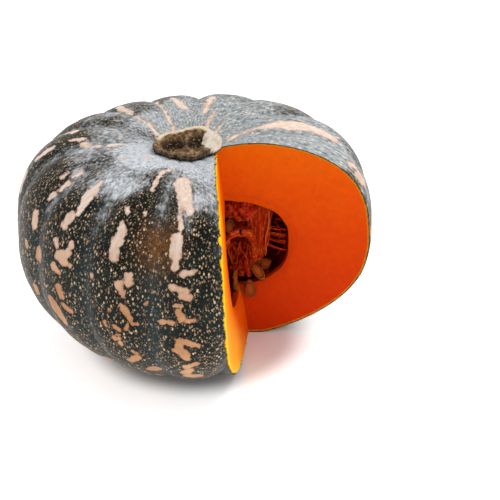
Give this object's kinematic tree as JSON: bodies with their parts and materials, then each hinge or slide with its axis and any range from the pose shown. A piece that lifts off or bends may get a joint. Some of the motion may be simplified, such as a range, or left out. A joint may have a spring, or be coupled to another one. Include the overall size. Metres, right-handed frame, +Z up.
{
  "type": "kabocha squash",
  "caption": "Large ribbed kabocha squash with a wedge cut out, showing thick orange flesh, stringy pulp and seeds.",
  "frame": {"origin": "on the floor, under the middle of the squash's outline", "axes": "+Z up along the stem; the notch opens towards +X and -Y"},
  "size_m": [0.2714, 0.2548, 0.1782],
  "materials": {
    "rind": "waxy dark green skin with tan blotches and fine speckles",
    "flesh": "moist cut flesh, deep orange, yellow-green under the skin",
    "stem": "dry corky stub with a rough broken top",
    "pulp": "wet red-orange fibres",
    "seed": "smooth tan seed coat with a paler rim, damp"
  },
  "bodies": {
    "root": {"rind": "rind", "flesh": "flesh", "stem": "stem", "pulp": "pulp", "seeds_floor_right": "seed", "seeds_floor_middle": "seed", "seeds_floor_left": "seed", "seeds_back": "seed", "seeds_front": "seed", "seeds_lip": "seed"}
  },
  "joints": []
}
